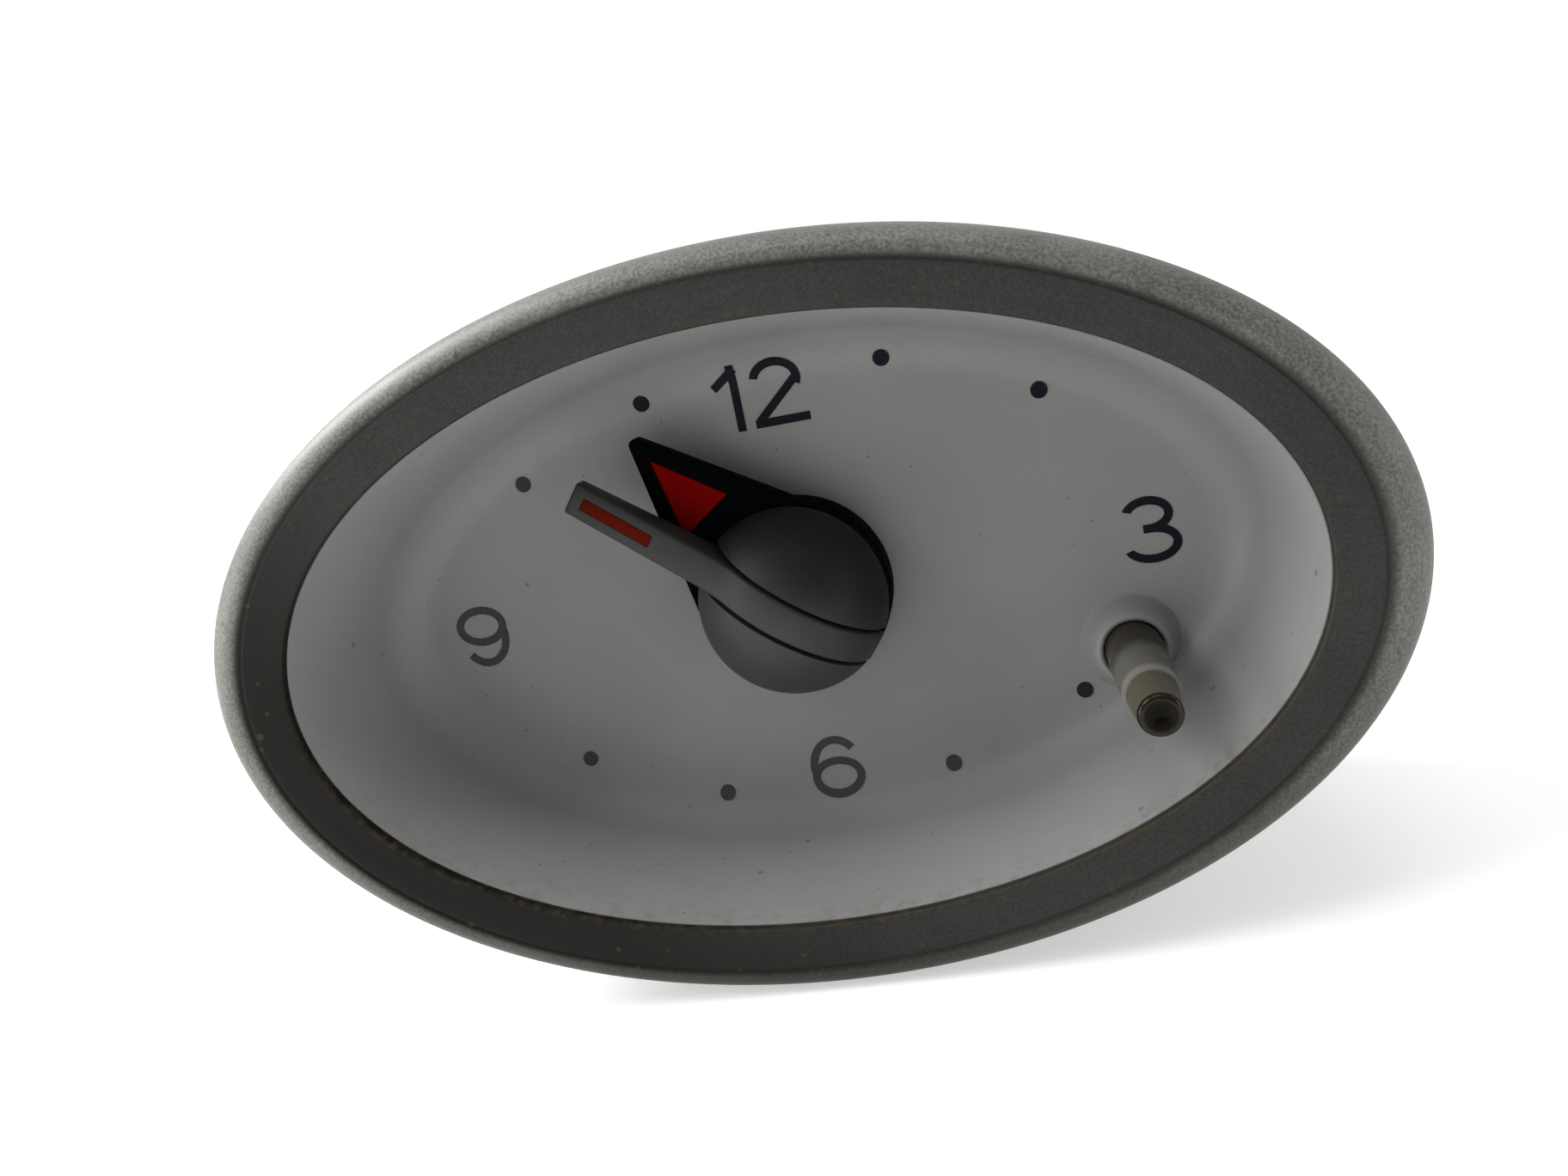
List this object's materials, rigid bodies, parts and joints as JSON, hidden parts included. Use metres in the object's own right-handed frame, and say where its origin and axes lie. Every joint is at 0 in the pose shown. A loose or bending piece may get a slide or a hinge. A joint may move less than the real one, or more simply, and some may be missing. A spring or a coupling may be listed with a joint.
{
  "type": "car dashboard clock",
  "caption": "Oval dashboard clock with a silver bezel, an open white dial bowl, thick hands on a domed hub and a push-and-turn setting stem, worked by a quartz movement.",
  "frame": {"origin": "on the hands' axis, in the plane of the bezel's rear seat", "axes": "+Z towards 12 o'clock, +X towards 3 o'clock, +Y into the dashboard; the dial faces -Y"},
  "size_m": [0.0904, 0.0484, 0.0562],
  "materials": {
    "silver_paint": "satin silver lacquer on moulded plastic",
    "dial_white": "smooth white, slightly translucent",
    "dial_ink": "pad-printed dark ink",
    "hand_black": "satin black",
    "hand_silver": "satin silver grey",
    "marker_red": "smooth red",
    "stem_clear": "smoky translucent",
    "case_white": "fine satin",
    "cover_black": "fine grained",
    "movement_plastic": "moulded grey",
    "gear_plastic": "natural acetal",
    "gear_brass": "stamped",
    "steel": "bright",
    "spring_steel": "blued grey",
    "motor_iron": "rolled sheet",
    "coil_copper": "enamelled wire",
    "board_green": "solder mask",
    "chip_black": "moulded",
    "capacitor_blue": "sleeved",
    "pad_rubber": "matte",
    "lamp_green": "moulded",
    "lamp_glass": "clear"
  },
  "bodies": {
    "clock_body": {"bezel": "silver_paint", "dial_bowl": "dial_white", "dial_print": "dial_ink", "front_plate": "movement_plastic", "back_plate": "movement_plastic", "movement_screws": "steel", "board_screws": "steel", "stator": "motor_iron", "coil_core": "motor_iron", "coil_bobbin": "gear_plastic", "coil_winding": "coil_copper", "circuit_board": "board_green", "quartz_crystal": "steel", "driver_chip": "chip_black", "smoothing_capacitor": "capacitor_blue", "supply_diode": "chip_black", "stem_spring": "spring_steel", "case_shell": "case_white", "rear_cover": "cover_black", "cover_screws": "steel", "dash_clips": "spring_steel", "connector_pins": "gear_brass"},
    "minute_hand_group": {"minute_hand": "hand_silver", "minute_hand_stripe": "marker_red", "hub_cap": "hand_silver", "minute_arbor": "gear_brass", "centre_wheel": "gear_brass"},
    "hour_hand_group": {"hour_hand": "hand_black", "hour_hand_triangle": "marker_red", "hour_wheel": "gear_brass"},
    "minute_wheel_group": {"minute_wheel": "gear_brass"},
    "setting_idler_group": {"setting_idler": "gear_plastic"},
    "setting_wheel_group": {"setting_wheel": "gear_plastic"},
    "intermediate_group": {"intermediate_wheel": "gear_plastic"},
    "rotor_group": {"rotor_pinion": "gear_plastic", "rotor_magnet": "motor_iron"},
    "stem_push_group": {"stem_washer": "steel"},
    "stem_turn_group": {"setting_stem": "stem_clear", "friction_pad": "pad_rubber"},
    "lamp_group": {"lamp_holder": "lamp_green", "lamp_bulb": "lamp_glass"}
  },
  "joints": [
    {"name": "minute_turn", "type": "hinge", "parent": "clock_body", "child": "minute_hand_group", "pos_m": [0, 0.012, 0], "axis": [0, 1, 0], "continuous": true},
    {"name": "hour_turn", "type": "hinge", "parent": "clock_body", "child": "hour_hand_group", "pos_m": [0, 0.012, 0], "axis": [0, 1, 0], "continuous": true},
    {"name": "minute_wheel_turn", "type": "hinge", "parent": "clock_body", "child": "minute_wheel_group", "pos_m": [0.0085, 0.012, -0.00295], "axis": [0, 1, 0], "continuous": true},
    {"name": "setting_idler_turn", "type": "hinge", "parent": "clock_body", "child": "setting_idler_group", "pos_m": [0.02005, 0.012, -0.00257], "axis": [0, 1, 0], "continuous": true},
    {"name": "setting_wheel_turn", "type": "hinge", "parent": "clock_body", "child": "setting_wheel_group", "pos_m": [0.0259, 0.012, -0.009], "axis": [0, 1, 0], "continuous": true},
    {"name": "intermediate_turn", "type": "hinge", "parent": "clock_body", "child": "intermediate_group", "pos_m": [-0.00909, 0.012, 0.00525], "axis": [0, 1, 0], "continuous": true},
    {"name": "rotor_turn", "type": "hinge", "parent": "clock_body", "child": "rotor_group", "pos_m": [-0.01725, 0.012, 0.00145], "axis": [0, 1, 0], "continuous": true},
    {"name": "stem_push", "type": "slide", "parent": "clock_body", "child": "stem_push_group", "axis": [0, 1, 0], "range_m": [0, 0.0015], "stiffness_N_per_m": 400, "springref_m": -0.0006, "deforming": ["stem_spring"]},
    {"name": "stem_turn", "type": "hinge", "parent": "stem_push_group", "child": "stem_turn_group", "pos_m": [0.0259, 0.012, -0.009], "axis": [0, 1, 0], "continuous": true},
    {"name": "lamp_turn", "type": "hinge", "parent": "clock_body", "child": "lamp_group", "pos_m": [0.012, 0.0338, 0.0166], "axis": [0, 1, 0], "range_deg": [0, 90]}
  ],
  "couplings": [
    {"joint": "hour_turn", "follows": "minute_turn", "ratio": 0.083333},
    {"joint": "minute_wheel_turn", "follows": "minute_turn", "ratio": -0.33333},
    {"joint": "setting_idler_turn", "follows": "minute_turn", "ratio": 0.46875},
    {"joint": "setting_wheel_turn", "follows": "minute_turn", "ratio": -0.57692},
    {"joint": "intermediate_turn", "follows": "minute_turn", "ratio": -6},
    {"joint": "rotor_turn", "follows": "minute_turn", "ratio": 30}
  ]
}
